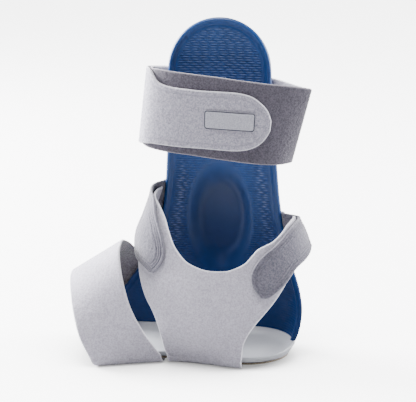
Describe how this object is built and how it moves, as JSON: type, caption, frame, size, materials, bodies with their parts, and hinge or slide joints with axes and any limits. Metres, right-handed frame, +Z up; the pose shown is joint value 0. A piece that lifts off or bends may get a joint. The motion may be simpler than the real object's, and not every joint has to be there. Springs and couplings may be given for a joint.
{
  "type": "ankle immobilizer",
  "caption": "Right ankle brace: a moulded outer shell and footbed with felt sling, closure tabs, forefoot loop and calf strap, standing on its sole.",
  "frame": {"origin": "on the floor, on the flat underside of the sling, under the middle of the blade", "axes": "+Z up along the blade, +X to the heel, +Y to the outer side of the foot where the shell stands"},
  "size_m": [0.1776, 0.0882, 0.2455],
  "materials": {
    "shell_plastic": "moulded satin blue with fine ripples inside and a smooth rim",
    "footbed_plastic": "smooth matt light grey",
    "sole_pad": "matt tan",
    "light_felt": "napped light-grey felt",
    "dark_felt": "napped dark-grey felt",
    "tab_felt": "mid-grey felt with welded outlines",
    "label_patch": "smooth blank patch"
  },
  "bodies": {
    "root": {"ankle_shell": "shell_plastic", "footbed": "footbed_plastic", "sole_pad": "sole_pad", "ankle_sling": "light_felt", "front_tab": "tab_felt", "rear_tab": "tab_felt", "forefoot_band": "light_felt", "calf_band": "dark_felt", "calf_flap": "light_felt", "label": "label_patch"}
  },
  "joints": []
}
